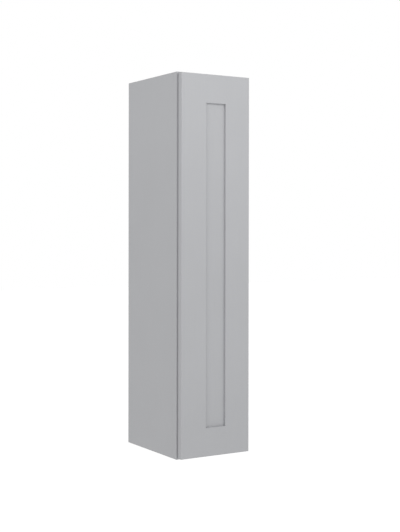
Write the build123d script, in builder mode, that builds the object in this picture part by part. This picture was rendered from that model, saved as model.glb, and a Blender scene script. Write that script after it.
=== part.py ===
"""Wall cabinet with a face frame and one full-overlay door, in millimetres.

X runs across the front, Y towards the wall, Z up. The origin is the centre of the
wall side, so the cabinet lies at negative Y and its door faces -Y.
"""

import os
from math import radians, tan

from build123d import *

# Overall size
WIDTH = 228.6
HEIGHT = 1066.8
DEPTH = 304.8

# Box
SIDE_THICKNESS = 12.7
DECK_THICKNESS = 12.7
BACK_THICKNESS = 6.35
JOINT_DEPTH = 6.35
TOP_RECESS = 12.7
HANGING_RAIL_HEIGHT = 76.2
HANGING_RAIL_THICKNESS = 12.7
WALL_HOLE_RADIUS = 2.5
WALL_HOLE_SPACING = 101.6

# Face frame
FRAME_THICKNESS = 19.05
FRAME_STILE_WIDTH = 38.1
FRAME_RAIL_HEIGHT = 38.1
TENON_LENGTH = 12.7
TENON_THICKNESS = 6.35
TENON_SHOULDER = 6.35

# Small pins, screws and their holes are drawn with flats instead of a true round
FLAT_COUNT = 12
FIT_CLEARANCE = 0.05

# Shelves and their pins
SHELF_COUNT = 3
SHELF_THICKNESS = 19.05
SHELF_END_PLAY = 1.6
SHELF_BACK_PLAY = 3.2
SHELF_FRONT_PLAY = 6.0
SHELF_EDGE_RADIUS = 1.0
PIN_RADIUS = 2.5
PIN_HOLE_DEPTH = 9.5
PIN_HOLES_PER_SHELF = 3
PIN_HOLE_PITCH = 50.8
PIN_ROW_INSET = 38.1
PIN_PLATE_WIDTH = 10.0
PIN_PLATE_HEIGHT = 13.0
PIN_PLATE_THICKNESS = 1.5
PIN_LEDGE_LENGTH = 11.0

# Corner brackets
BRACKET_THICKNESS = 1.5
BRACKET_WIDTH = 16.0
BRACKET_HEIGHT = 10.5
BRACKET_REACH = 18.0
BRACKET_INSET = 40.0
BRACKET_SCREW_RADIUS = 1.6
BRACKET_SCREW_LENGTH = 9.0
BRACKET_SCREW_HEAD_RADIUS = 3.0
BRACKET_SCREW_HEAD_HEIGHT = 1.4
SCREW_HEAD_SLOPE = 25.0

# Door
DOOR_REVEAL = 3.175
DOOR_GAP = 2.1
DOOR_THICKNESS = 19.05
DOOR_MEMBER_WIDTH = 79.375
DOOR_EDGE_RADIUS = 1.6
PANEL_THICKNESS = 6.35
PANEL_SETBACK = 6.35
GROOVE_DEPTH = 9.5
PANEL_PLAY = 1.5
BUMPER_RADIUS = 4.8
BUMPER_INSET = 14.0

# Hinges
HINGE_END_DISTANCE = 101.6
AXIS_EDGE_DISTANCE = 7.0
AXIS_DEPTH = 9.5
HINGE_PIN_RADIUS = 1.0
CUP_EDGE_DISTANCE = 3.0
CUP_RADIUS = 17.5
CUP_DEPTH = 13.0
CUP_WALL = 0.6
CUP_FLANGE_THICKNESS = 1.0
CUP_FLANGE_RADIUS = 19.5
CUP_FLANGE_SETBACK = 2.9
CUP_WING_WIDTH = 11.0
CUP_SCREW_SPACING = 45.0
CUP_SCREW_OFFSET = 9.5
CUP_SCREW_RADIUS = 1.6
CUP_SCREW_LENGTH = 12.0
CUP_SCREW_HEAD_RADIUS = 3.4
COUNTERSINK_SLOPE = 45.0
CHEEK_THICKNESS = 1.6
CHEEK_REACH = 2.3
ARM_THICKNESS = 1.2
ARM_WIDTH = 10.0
ARM_BEND_RADIUS = 3.6
ARM_WEB_LENGTH = 14.0
ARM_WEB_SETBACK = 1.0
ARM_SIDE_PLAY = 0.3
BASE_WIDTH = 46.0
BASE_CORNER_RADIUS = 5.0
BASE_FRONT_INSET = 1.0
BASE_WRAP = 12.0
BASE_SCREW_SPACING = 28.0
BASE_SCREW_RADIUS = 1.9
BASE_SCREW_LENGTH = 16.0
BASE_SCREW_HEAD_RADIUS = 3.6
BASE_SCREW_HEAD_HEIGHT = 1.7
SPRING_THICKNESS = 0.4
SPRING_WIDTH = 9.0
SPRING_LENGTH = 20.0
SPRING_CORNER = 2.0

# Levels and planes that follow from the sizes
TOP_Z = HEIGHT / 2
BASE_Z = -HEIGHT / 2
BOX_DEPTH = DEPTH - DOOR_THICKNESS - DOOR_GAP
FRAME_FRONT_Y = -BOX_DEPTH
FRAME_BACK_Y = FRAME_FRONT_Y + FRAME_THICKNESS
INNER_X = WIDTH / 2 - SIDE_THICKNESS
OPENING_X = WIDTH / 2 - FRAME_STILE_WIDTH
BOTTOM_DECK_TOP_Z = BASE_Z + FRAME_RAIL_HEIGHT
BOTTOM_DECK_Z = BOTTOM_DECK_TOP_Z - DECK_THICKNESS
TOP_DECK_TOP_Z = TOP_Z - TOP_RECESS
TOP_DECK_Z = TOP_DECK_TOP_Z - DECK_THICKNESS
UPPER_RAIL_Z = TOP_DECK_Z - HANGING_RAIL_HEIGHT / 2
LOWER_RAIL_Z = BOTTOM_DECK_TOP_Z + HANGING_RAIL_HEIGHT / 2
DECK_CENTRE_Y = (FRAME_BACK_Y - BACK_THICKNESS) / 2
DECK_LENGTH_Y = -FRAME_BACK_Y - BACK_THICKNESS
CLEAR_HEIGHT = (TOP_DECK_Z - BOTTOM_DECK_TOP_Z - SHELF_COUNT * SHELF_THICKNESS) / (SHELF_COUNT + 1)
SHELF_LEVELS = [
    BOTTOM_DECK_TOP_Z + CLEAR_HEIGHT + index * (CLEAR_HEIGHT + SHELF_THICKNESS)
    for index in range(SHELF_COUNT)
]
PIN_ROWS_Y = (FRAME_BACK_Y + PIN_ROW_INSET, -BACK_THICKNESS - PIN_ROW_INSET)
BRACKET_ROWS_Y = (FRAME_BACK_Y + BRACKET_INSET, -BACK_THICKNESS - BRACKET_INSET)
BRACKET_SCREW_X = INNER_X - (BRACKET_REACH + BRACKET_THICKNESS) / 2

DOOR_WIDTH = WIDTH - 2 * DOOR_REVEAL
DOOR_HEIGHT = HEIGHT - 2 * DOOR_REVEAL
DOOR_BACK_Y = FRAME_FRONT_Y - DOOR_GAP
DOOR_CENTRE_Y = DOOR_BACK_Y - DOOR_THICKNESS / 2
PANEL_FRONT_Y = DOOR_BACK_Y - DOOR_THICKNESS + PANEL_SETBACK
PANEL_CENTRE_Y = PANEL_FRONT_Y + PANEL_THICKNESS / 2
RECESS_WIDTH = DOOR_WIDTH - 2 * DOOR_MEMBER_WIDTH
RECESS_HEIGHT = DOOR_HEIGHT - 2 * DOOR_MEMBER_WIDTH

AXIS_X = DOOR_WIDTH / 2 - AXIS_EDGE_DISTANCE
AXIS_Y = DOOR_BACK_Y - AXIS_DEPTH
HINGE_LEVELS = {
    "top": DOOR_HEIGHT / 2 - HINGE_END_DISTANCE,
    "middle": 0.0,
    "bottom": HINGE_END_DISTANCE - DOOR_HEIGHT / 2,
}
CUP_CENTRE = CUP_EDGE_DISTANCE + CUP_RADIUS
CUP_FLOOR_DEPTH = CUP_DEPTH - CUP_WALL
CUP_SCREW_EDGE_DISTANCE = CUP_CENTRE + CUP_SCREW_OFFSET
CHEEK_OFFSET = ARM_WIDTH / 2 + ARM_SIDE_PLAY + CHEEK_THICKNESS / 2
EYE_RADIUS = HINGE_PIN_RADIUS + ARM_THICKNESS
BASE_SCREW_Y = FRAME_FRONT_Y + FRAME_THICKNESS / 2


def save(piece, label):
    """Name one finished piece and write it to its own file."""
    piece.part.label = label
    export_step(piece.part, f"parts/{label}.step")


def hinge_door_plane(level):
    """Plane on the door's back: X runs in from the hinge edge, Y up, Z out of the door."""
    return Plane(origin=(DOOR_WIDTH / 2, DOOR_BACK_Y, level), x_dir=(-1, 0, 0), z_dir=(0, 1, 0))


def hinge_frame_plane(level):
    """Plane on the inner edge of the hinge-side frame stile, Z into the opening."""
    return Plane(origin=(OPENING_X, BASE_SCREW_Y, level), x_dir=(0, 1, 0), z_dir=(-1, 0, 0))


def cup_screw_planes(level):
    """Planes of the two screws of a cup, on the face of its flange."""
    face = hinge_door_plane(level).offset(CUP_FLANGE_THICKNESS)
    places = [(CUP_SCREW_EDGE_DISTANCE, side * CUP_SCREW_SPACING / 2, 0) for side in (-1, 1)]
    return [Plane(origin=face.from_local_coords(place), z_dir=face.z_dir) for place in places]


def base_screw_points():
    """The two screws of a hinge arm, on its frame plane."""
    return [(0, side * BASE_SCREW_SPACING / 2) for side in (-1, 1)]


def wall_hole_points(level):
    """The two wall screw holes of one hanging rail, as X and Z."""
    return [(side * WALL_HOLE_SPACING / 2, level) for side in (-1, 1)]


def pin_level(shelf_level):
    """Height of the pin holes that carry a shelf whose underside is at this level."""
    return shelf_level - PIN_PLATE_HEIGHT / 2


def small_round(radius):
    """Outline of a small pin or screw, with its corners on the radius."""
    return RegularPolygon(radius, FLAT_COUNT)


def small_hole(radius):
    """Outline of the hole for a small pin or screw, with its flats clear of the radius."""
    return RegularPolygon(radius + FIT_CLEARANCE, FLAT_COUNT, major_radius=False)


def pan_head_screw(radius, length, head_radius, head_height):
    """A screw whose head rises from its seat at the origin and whose shank goes down."""
    with BuildPart() as screw:
        with BuildSketch():
            small_round(head_radius)
        extrude(amount=head_height, taper=SCREW_HEAD_SLOPE)
        with BuildSketch():
            small_round(radius)
        extrude(amount=-length)
    return screw.part


def countersunk_screw(outline, spare_length=0):
    """A screw with its flat face at the origin, or its hole, as the outline says."""
    head_height = (CUP_SCREW_HEAD_RADIUS - CUP_SCREW_RADIUS) / tan(radians(COUNTERSINK_SLOPE))
    with BuildPart() as screw:
        with BuildSketch():
            outline(CUP_SCREW_HEAD_RADIUS)
        extrude(amount=-head_height, taper=COUNTERSINK_SLOPE)
        with BuildSketch():
            outline(CUP_SCREW_RADIUS)
        extrude(amount=-CUP_SCREW_LENGTH - spare_length)
    return screw.part


def side_panel(side, label):
    """A side panel with its back rabbet, deck housings and shelf pin holes."""
    panel_depth = -FRAME_BACK_Y
    centre_x = side * (WIDTH / 2 - SIDE_THICKNESS / 2)
    joint_x = side * (INNER_X + JOINT_DEPTH / 2)
    with BuildPart() as panel:
        with BuildSketch(Plane.XY.offset(BASE_Z)):
            with Locations((centre_x, -panel_depth / 2)):
                Rectangle(SIDE_THICKNESS, panel_depth)
            with Locations((joint_x, -BACK_THICKNESS / 2)):
                Rectangle(JOINT_DEPTH, BACK_THICKNESS, mode=Mode.SUBTRACT)
        extrude(amount=HEIGHT)
        for level in (BOTTOM_DECK_Z, TOP_DECK_Z):
            with BuildSketch(Plane.XY.offset(level)):
                with Locations((joint_x, -panel_depth / 2)):
                    Rectangle(JOINT_DEPTH, panel_depth)
            extrude(amount=DECK_THICKNESS, mode=Mode.SUBTRACT)
        with BuildSketch(Plane.YZ.offset(side * INNER_X)):
            for shelf_level in SHELF_LEVELS:
                for row_y in PIN_ROWS_Y:
                    with Locations((row_y, pin_level(shelf_level))):
                        with GridLocations(PIN_HOLE_PITCH, PIN_HOLE_PITCH, 1, PIN_HOLES_PER_SHELF):
                            small_hole(PIN_RADIUS)
        extrude(amount=side * PIN_HOLE_DEPTH, mode=Mode.SUBTRACT)
        with BuildSketch(Plane.YZ.offset(side * INNER_X)):
            with Locations(*bracket_side_points()):
                small_hole(BRACKET_SCREW_RADIUS)
        extrude(amount=side * BRACKET_SCREW_LENGTH, mode=Mode.SUBTRACT)
    save(panel, label)


def bracket_screw_level(deck):
    """Height of the screw that holds a bracket of this deck to the side panel."""
    middle = (BRACKET_HEIGHT + BRACKET_THICKNESS) / 2
    return TOP_DECK_TOP_Z + middle if deck == "top" else BOTTOM_DECK_Z - middle


def deck_panel(level, bracket_face, rise, label):
    """The top or bottom panel, housed in both sides, with its bracket screw holes."""
    with BuildPart() as deck:
        with BuildSketch(Plane.XY.offset(level)):
            with Locations((0, DECK_CENTRE_Y)):
                Rectangle(2 * (INNER_X + JOINT_DEPTH), DECK_LENGTH_Y)
        extrude(amount=DECK_THICKNESS)
        with BuildSketch(Plane.XY.offset(bracket_face)):
            with Locations(*bracket_deck_points()):
                small_hole(BRACKET_SCREW_RADIUS)
        extrude(amount=-rise * BRACKET_SCREW_LENGTH, mode=Mode.SUBTRACT)
    save(deck, label)


def back_panel():
    """The back panel, rabbeted into both sides, with the wall screw holes."""
    with BuildPart() as back:
        with BuildSketch(Plane.XZ):
            Rectangle(2 * (INNER_X + JOINT_DEPTH), HEIGHT)
            with Locations(*wall_hole_points(UPPER_RAIL_Z), *wall_hole_points(LOWER_RAIL_Z)):
                Circle(WALL_HOLE_RADIUS, mode=Mode.SUBTRACT)
        extrude(amount=BACK_THICKNESS)
    save(back, "back_panel")


def hanging_rail(level, label):
    """A rail in front of the back panel that takes the wall screws."""
    with BuildPart() as rail:
        with BuildSketch(Plane.XZ.offset(BACK_THICKNESS)):
            with Locations((0, level)):
                Rectangle(2 * INNER_X, HANGING_RAIL_HEIGHT)
            with Locations(*wall_hole_points(level)):
                Circle(WALL_HOLE_RADIUS, mode=Mode.SUBTRACT)
        extrude(amount=HANGING_RAIL_THICKNESS)
    save(rail, label)


def frame_tenon_height():
    """Height of the stub tenon that a frame rail carries at each end."""
    return FRAME_RAIL_HEIGHT - 2 * TENON_SHOULDER


def frame_rail_centres():
    """Heights of the two frame rails' centre lines."""
    return BASE_Z + FRAME_RAIL_HEIGHT / 2, TOP_Z - FRAME_RAIL_HEIGHT / 2


def frame_stile(side, label):
    """A stile of the face frame with its mortises, and hinge screw holes on the hinge side."""
    frame_centre_y = (FRAME_FRONT_Y + FRAME_BACK_Y) / 2
    with BuildPart() as stile:
        with BuildSketch(Plane.XY.offset(BASE_Z)):
            with Locations((side * (WIDTH / 2 - FRAME_STILE_WIDTH / 2), frame_centre_y)):
                Rectangle(FRAME_STILE_WIDTH, FRAME_THICKNESS)
        extrude(amount=HEIGHT)
        with BuildSketch(Plane.YZ.offset(side * OPENING_X)):
            with Locations(*[(frame_centre_y, level) for level in frame_rail_centres()]):
                Rectangle(TENON_THICKNESS, frame_tenon_height())
        extrude(amount=side * TENON_LENGTH, mode=Mode.SUBTRACT)
        if side > 0:
            for level in HINGE_LEVELS.values():
                with BuildSketch(hinge_frame_plane(level)):
                    with Locations(*base_screw_points()):
                        small_hole(BASE_SCREW_RADIUS)
                extrude(amount=-BASE_SCREW_LENGTH, mode=Mode.SUBTRACT)
    save(stile, label)


def frame_rail(level, label):
    """A rail of the face frame with a stub tenon at each end."""
    frame_centre_y = (FRAME_FRONT_Y + FRAME_BACK_Y) / 2
    with BuildPart() as rail:
        with BuildSketch(Plane.YZ.offset(-OPENING_X)):
            with Locations((frame_centre_y, level)):
                Rectangle(FRAME_THICKNESS, FRAME_RAIL_HEIGHT)
        extrude(amount=2 * OPENING_X)
        with BuildSketch(Plane.YZ.offset(-OPENING_X - TENON_LENGTH)):
            with Locations((frame_centre_y, level)):
                Rectangle(TENON_THICKNESS, frame_tenon_height())
        extrude(amount=2 * (OPENING_X + TENON_LENGTH))
    save(rail, label)


def shelf(level, label):
    """An adjustable shelf with its front edges eased."""
    back_y = -BACK_THICKNESS - SHELF_BACK_PLAY
    front_y = FRAME_BACK_Y + SHELF_FRONT_PLAY
    with BuildPart() as board:
        with BuildSketch(Plane.XY.offset(level)):
            with Locations((0, (back_y + front_y) / 2)):
                Rectangle(2 * (INNER_X - SHELF_END_PLAY), back_y - front_y)
        extrude(amount=SHELF_THICKNESS)
        fillet(board.faces().sort_by(Axis.Y)[0].edges().filter_by(Axis.X), radius=SHELF_EDGE_RADIUS)
    save(board, label)


def shelf_pins():
    """Four pins under each shelf: a stem in the side, and an angle whose ledge takes the shelf."""
    stem_points = [(row_y, pin_level(level)) for level in SHELF_LEVELS for row_y in PIN_ROWS_Y]
    ledge_x = INNER_X - PIN_LEDGE_LENGTH / 2
    plate_x = INNER_X - PIN_PLATE_THICKNESS / 2
    with BuildPart() as pins:
        for row_y in PIN_ROWS_Y:
            with BuildSketch(Plane.XZ.offset(-row_y - PIN_PLATE_WIDTH / 2)):
                for level in SHELF_LEVELS:
                    for side in (-1, 1):
                        with Locations((side * ledge_x, level - PIN_PLATE_THICKNESS / 2)):
                            Rectangle(PIN_LEDGE_LENGTH, PIN_PLATE_THICKNESS)
                        with Locations((side * plate_x, pin_level(level))):
                            Rectangle(PIN_PLATE_THICKNESS, PIN_PLATE_HEIGHT)
            extrude(amount=PIN_PLATE_WIDTH)
        for side in (-1, 1):
            with BuildSketch(Plane.YZ.offset(side * INNER_X)):
                with Locations(*stem_points):
                    small_round(PIN_RADIUS)
            extrude(amount=side * (PIN_HOLE_DEPTH - FIT_CLEARANCE))
    save(pins, "shelf_pins")


def bracket_seats():
    """Each deck with the face that its brackets lie on and the way they rise from it."""
    return ("top", TOP_DECK_TOP_Z, 1), ("bottom", BOTTOM_DECK_Z, -1)


def bracket_side_points():
    """The bracket screws in one side panel, as Y and Z."""
    return [(row_y, bracket_screw_level(deck)) for row_y in BRACKET_ROWS_Y for deck in ("top", "bottom")]


def bracket_deck_points():
    """The bracket screws in one deck, as X and Y."""
    return [(side * BRACKET_SCREW_X, row_y) for side in (-1, 1) for row_y in BRACKET_ROWS_Y]


def corner_brackets():
    """Steel angles that tie the top and bottom panels to the sides."""
    with BuildPart() as brackets:
        for row_y in BRACKET_ROWS_Y:
            with BuildSketch(Plane.XZ.offset(-row_y - BRACKET_WIDTH / 2)):
                for _, face_z, rise in bracket_seats():
                    for side in (-1, 1):
                        leg_x = side * (INNER_X - BRACKET_THICKNESS / 2)
                        foot_x = side * (INNER_X - BRACKET_REACH / 2)
                        with Locations((foot_x, face_z + rise * BRACKET_THICKNESS / 2)):
                            Rectangle(BRACKET_REACH, BRACKET_THICKNESS)
                        with Locations((leg_x, face_z + rise * BRACKET_HEIGHT / 2)):
                            Rectangle(BRACKET_THICKNESS, BRACKET_HEIGHT)
            extrude(amount=BRACKET_WIDTH)
        for side in (-1, 1):
            with BuildSketch(Plane.YZ.offset(side * INNER_X)):
                with Locations(*bracket_side_points()):
                    small_hole(BRACKET_SCREW_RADIUS)
            extrude(amount=-side * BRACKET_THICKNESS, mode=Mode.SUBTRACT)
        for _, face_z, rise in bracket_seats():
            with BuildSketch(Plane.XY.offset(face_z)):
                with Locations(*bracket_deck_points()):
                    small_hole(BRACKET_SCREW_RADIUS)
            extrude(amount=rise * BRACKET_THICKNESS, mode=Mode.SUBTRACT)
    save(brackets, "corner_brackets")


def bracket_screws():
    """Two screws for each corner bracket, one into the side and one into the deck."""
    planes = [
        Plane(origin=(side * (INNER_X - BRACKET_THICKNESS), row_y, level), z_dir=(-side, 0, 0))
        for side in (-1, 1)
        for row_y, level in bracket_side_points()
    ]
    planes += [
        Plane(origin=(screw_x, row_y, face_z + rise * BRACKET_THICKNESS), z_dir=(0, 0, rise))
        for _, face_z, rise in bracket_seats()
        for screw_x, row_y in bracket_deck_points()
    ]
    screw = pan_head_screw(
        BRACKET_SCREW_RADIUS, BRACKET_SCREW_LENGTH, BRACKET_SCREW_HEAD_RADIUS, BRACKET_SCREW_HEAD_HEIGHT
    )
    with BuildPart() as screws:
        with Locations(*planes):
            add(screw)
    save(screws, "bracket_screws")


def door_stile(side, label):
    """A door stile, grooved on its inner edge; the hinge stile is bored for the cups."""
    inner_x = side * RECESS_WIDTH / 2
    centre_x = side * (DOOR_WIDTH - DOOR_MEMBER_WIDTH) / 2
    with BuildPart() as stile:
        with BuildSketch(Plane.XY.offset(-DOOR_HEIGHT / 2)):
            with Locations((centre_x, DOOR_CENTRE_Y)):
                Rectangle(DOOR_MEMBER_WIDTH, DOOR_THICKNESS)
        extrude(amount=DOOR_HEIGHT)
        for face in (stile.faces().sort_by(Axis.Y)[0], stile.faces().sort_by(Axis.Y)[-1]):
            outline = face.edges().sort_by(Axis.X)
            fillet(outline[1:] if side > 0 else outline[:-1], radius=DOOR_EDGE_RADIUS)
        with BuildSketch(Plane.XY.offset(-DOOR_HEIGHT / 2)):
            with Locations((inner_x + side * GROOVE_DEPTH / 2, PANEL_CENTRE_Y)):
                Rectangle(GROOVE_DEPTH, PANEL_THICKNESS)
        extrude(amount=DOOR_HEIGHT, mode=Mode.SUBTRACT)
        if side > 0:
            for level in HINGE_LEVELS.values():
                with BuildSketch(hinge_door_plane(level)):
                    with Locations((CUP_CENTRE, 0)):
                        Circle(CUP_RADIUS + FIT_CLEARANCE)
                extrude(amount=-CUP_DEPTH, mode=Mode.SUBTRACT)
                with Locations(*cup_screw_planes(level)):
                    add(countersunk_screw(small_hole, FIT_CLEARANCE), mode=Mode.SUBTRACT)
    save(stile, label)


def door_rail(end, label):
    """A door rail with a tongue at each end and the panel groove on its inner edge."""
    centre_z = end * (DOOR_HEIGHT - DOOR_MEMBER_WIDTH) / 2
    inner_z = end * RECESS_HEIGHT / 2
    with BuildPart() as rail:
        with BuildSketch(Plane.YZ.offset(-RECESS_WIDTH / 2)):
            with Locations((DOOR_CENTRE_Y, centre_z)):
                Rectangle(DOOR_THICKNESS, DOOR_MEMBER_WIDTH)
        extrude(amount=RECESS_WIDTH)
        outer = rail.edges().filter_by(Axis.X).group_by(Axis.Z)[-1 if end > 0 else 0]
        fillet(outer, radius=DOOR_EDGE_RADIUS)
        with BuildSketch(Plane.YZ.offset(-RECESS_WIDTH / 2 - GROOVE_DEPTH)):
            with Locations((PANEL_CENTRE_Y, centre_z)):
                Rectangle(PANEL_THICKNESS, DOOR_MEMBER_WIDTH)
        extrude(amount=RECESS_WIDTH + 2 * GROOVE_DEPTH)
        with BuildSketch(Plane.YZ.offset(-RECESS_WIDTH / 2 - GROOVE_DEPTH)):
            with Locations((PANEL_CENTRE_Y, inner_z + end * GROOVE_DEPTH / 2)):
                Rectangle(PANEL_THICKNESS, GROOVE_DEPTH)
        extrude(amount=RECESS_WIDTH + 2 * GROOVE_DEPTH, mode=Mode.SUBTRACT)
    save(rail, label)


def door_panel():
    """The flat centre panel, held loose in the grooves of the four members."""
    reach = 2 * (GROOVE_DEPTH - PANEL_PLAY)
    with BuildPart() as panel:
        with BuildSketch(Plane.XZ.offset(-PANEL_FRONT_Y - PANEL_THICKNESS)):
            Rectangle(RECESS_WIDTH + reach, RECESS_HEIGHT + reach)
        extrude(amount=PANEL_THICKNESS)
    save(panel, "door_panel")


def door_bumpers():
    """Two soft discs at the latch side that hold the door off the frame."""
    bumper_x = BUMPER_INSET - DOOR_WIDTH / 2
    bumper_z = DOOR_HEIGHT / 2 - BUMPER_INSET
    with BuildPart() as bumpers:
        with BuildSketch(Plane.XZ.offset(-FRAME_FRONT_Y)):
            with Locations((bumper_x, bumper_z), (bumper_x, -bumper_z)):
                Circle(BUMPER_RADIUS)
        extrude(amount=DOOR_GAP)
    save(bumpers, "door_bumpers")


def hinge_arm(level, label):
    """A bent steel arm: an eye round the pin, a gooseneck with two webs, and a wrapped base."""
    sheet_y = AXIS_Y - EYE_RADIUS + ARM_THICKNESS / 2
    leg_x = OPENING_X - ARM_THICKNESS / 2
    wrap_y = FRAME_BACK_Y + ARM_THICKNESS / 2
    plate_front_y = FRAME_FRONT_Y + BASE_FRONT_INSET
    plate_back_y = FRAME_BACK_Y + ARM_THICKNESS
    web_end = (leg_x + ARM_WEB_LENGTH, sheet_y)
    web_top = (leg_x, DOOR_BACK_Y - ARM_WEB_SETBACK)
    with BuildPart() as arm:
        for web_level in (level - ARM_WIDTH / 2, level + ARM_WIDTH / 2 - ARM_THICKNESS):
            with BuildSketch(Plane.XY.offset(web_level)):
                with BuildLine():
                    FilletPolyline(web_top, (leg_x, sheet_y), web_end, radius=ARM_BEND_RADIUS)
                    Line(web_end, web_top)
                make_face()
            extrude(amount=ARM_THICKNESS)
        with BuildSketch(Plane.XY.offset(level - ARM_WIDTH / 2)):
            with BuildLine():
                FilletPolyline(
                    (AXIS_X, sheet_y),
                    (leg_x, sheet_y),
                    (leg_x, plate_front_y + ARM_THICKNESS),
                    radius=ARM_BEND_RADIUS,
                )
            trace(line_width=ARM_THICKNESS)
            with Locations((AXIS_X, AXIS_Y)):
                Circle(EYE_RADIUS)
                Circle(HINGE_PIN_RADIUS + FIT_CLEARANCE, mode=Mode.SUBTRACT)
        extrude(amount=ARM_WIDTH)
        with BuildSketch(Plane.XY.offset(level - BASE_WIDTH / 2)):
            with Locations((leg_x, (plate_front_y + plate_back_y) / 2)):
                Rectangle(ARM_THICKNESS, plate_back_y - plate_front_y)
            with Locations((OPENING_X + (BASE_WRAP - ARM_THICKNESS) / 2, wrap_y)):
                Rectangle(BASE_WRAP + ARM_THICKNESS, ARM_THICKNESS)
        base = extrude(amount=BASE_WIDTH)
        fillet(base.edges().filter_by(Axis.X).group_by(Axis.Y)[0], radius=BASE_CORNER_RADIUS)
        with BuildSketch(hinge_frame_plane(level)):
            with Locations(*base_screw_points()):
                small_hole(BASE_SCREW_RADIUS)
        extrude(amount=ARM_THICKNESS, mode=Mode.SUBTRACT)
    save(arm, label)


def hinge_arm_screws():
    """Two screws through each arm's base into the frame stile."""
    planes = []
    for level in HINGE_LEVELS.values():
        face = hinge_frame_plane(level).offset(ARM_THICKNESS)
        for along, up in base_screw_points():
            planes.append(Plane(origin=face.from_local_coords((along, up, 0)), z_dir=face.z_dir))
    screw = pan_head_screw(
        BASE_SCREW_RADIUS, BASE_SCREW_LENGTH, BASE_SCREW_HEAD_RADIUS, BASE_SCREW_HEAD_HEIGHT
    )
    with BuildPart() as screws:
        with Locations(*planes):
            add(screw)
    save(screws, "hinge_arm_screws")


def hinge_cup(level, label):
    """A flanged cup let into the door, with two cheeks inside that hold the pivot pin."""
    back = hinge_door_plane(level)
    wing_height = CUP_SCREW_SPACING + CUP_WING_WIDTH
    flange_width = 2 * CUP_CENTRE
    cheek_depth = CUP_FLOOR_DEPTH - AXIS_DEPTH + CHEEK_REACH
    with BuildPart() as cup:
        with BuildSketch(back.offset(-CUP_DEPTH)):
            with Locations((CUP_CENTRE, 0)):
                Circle(CUP_RADIUS)
        extrude(amount=CUP_DEPTH)
        with BuildSketch(back):
            with Locations((CUP_CENTRE, 0)):
                Circle(CUP_FLANGE_RADIUS)
            with Locations((CUP_SCREW_EDGE_DISTANCE, 0)):
                RectangleRounded(CUP_WING_WIDTH, wing_height, CUP_WING_WIDTH / 2 - CUP_WALL)
            with Locations((CUP_FLANGE_SETBACK - flange_width / 2, 0)):
                Rectangle(flange_width, wing_height, mode=Mode.SUBTRACT)
        extrude(amount=CUP_FLANGE_THICKNESS)
        with BuildSketch(back.offset(-CUP_FLOOR_DEPTH)):
            with Locations((CUP_CENTRE, 0)):
                Circle(CUP_RADIUS - CUP_WALL)
        extrude(amount=CUP_FLOOR_DEPTH + CUP_FLANGE_THICKNESS, mode=Mode.SUBTRACT)
        with BuildSketch(back.offset(-CUP_FLOOR_DEPTH)):
            with Locations(*[(AXIS_EDGE_DISTANCE, side * CHEEK_OFFSET) for side in (-1, 1)]):
                Rectangle(2 * (CHEEK_REACH + HINGE_PIN_RADIUS), CHEEK_THICKNESS)
            with Locations((CUP_CENTRE, 0)):
                Circle(CUP_RADIUS - CUP_WALL / 2, mode=Mode.INTERSECT)
        extrude(amount=cheek_depth)
        with BuildSketch(Plane.XY.offset(level - CHEEK_OFFSET - CHEEK_THICKNESS / 2)):
            with Locations((AXIS_X, AXIS_Y)):
                RegularPolygon(HINGE_PIN_RADIUS, FLAT_COUNT, major_radius=False)
        extrude(amount=2 * CHEEK_OFFSET + CHEEK_THICKNESS, mode=Mode.SUBTRACT)
        with Locations(*cup_screw_planes(level)):
            add(countersunk_screw(small_hole, FIT_CLEARANCE), mode=Mode.SUBTRACT)
    save(cup, label)


def hinge_pin(level, label):
    """The pin that the arm's eye turns on."""
    length = 2 * CHEEK_OFFSET + CHEEK_THICKNESS
    with BuildPart() as pin:
        with BuildSketch(Plane.XY.offset(level - length / 2)):
            with Locations((AXIS_X, AXIS_Y)):
                Circle(HINGE_PIN_RADIUS)
        extrude(amount=length)
    save(pin, label)


def hinge_spring(level, label):
    """A leaf spring that lies on the cup's floor, under the arm."""
    with BuildPart() as spring:
        with BuildSketch(hinge_door_plane(level).offset(-CUP_FLOOR_DEPTH)) as leaf:
            with Locations((CUP_CENTRE, 0)):
                Rectangle(SPRING_LENGTH, SPRING_WIDTH)
            chamfer(leaf.vertices(), length=SPRING_CORNER)
        extrude(amount=SPRING_THICKNESS)
    save(spring, label)


def cup_screws():
    """The countersunk screws of the three cups."""
    with BuildPart() as screws:
        for level in HINGE_LEVELS.values():
            with Locations(*cup_screw_planes(level)):
                add(countersunk_screw(small_round))
    save(screws, "cup_screws")


def build_box():
    """The box, its face frame, shelves and fasteners."""
    side_panel(-1, "left_side_panel")
    side_panel(1, "right_side_panel")
    deck_panel(TOP_DECK_Z, TOP_DECK_TOP_Z, 1, "top_panel")
    deck_panel(BOTTOM_DECK_Z, BOTTOM_DECK_Z, -1, "bottom_panel")
    back_panel()
    hanging_rail(UPPER_RAIL_Z, "upper_hanging_rail")
    hanging_rail(LOWER_RAIL_Z, "lower_hanging_rail")
    frame_stile(-1, "left_frame_stile")
    frame_stile(1, "right_frame_stile")
    bottom_rail_z, top_rail_z = frame_rail_centres()
    frame_rail(top_rail_z, "top_frame_rail")
    frame_rail(bottom_rail_z, "bottom_frame_rail")
    for number, level in enumerate(SHELF_LEVELS, start=1):
        shelf(level, f"shelf_{number}")
    shelf_pins()
    corner_brackets()
    bracket_screws()


def build_door():
    """The door's five pieces and its bumpers."""
    door_stile(1, "door_hinge_stile")
    door_stile(-1, "door_latch_stile")
    door_rail(1, "door_top_rail")
    door_rail(-1, "door_bottom_rail")
    door_panel()
    door_bumpers()


def build_hinges():
    """Three hinges on one axis and their screws."""
    for place, level in HINGE_LEVELS.items():
        hinge_arm(level, f"{place}_hinge_arm")
        hinge_cup(level, f"{place}_hinge_cup")
        hinge_pin(level, f"{place}_hinge_pin")
        hinge_spring(level, f"{place}_hinge_spring")
    hinge_arm_screws()
    cup_screws()


os.makedirs("parts", exist_ok=True)
build_box()
build_door()
build_hinges()
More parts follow.
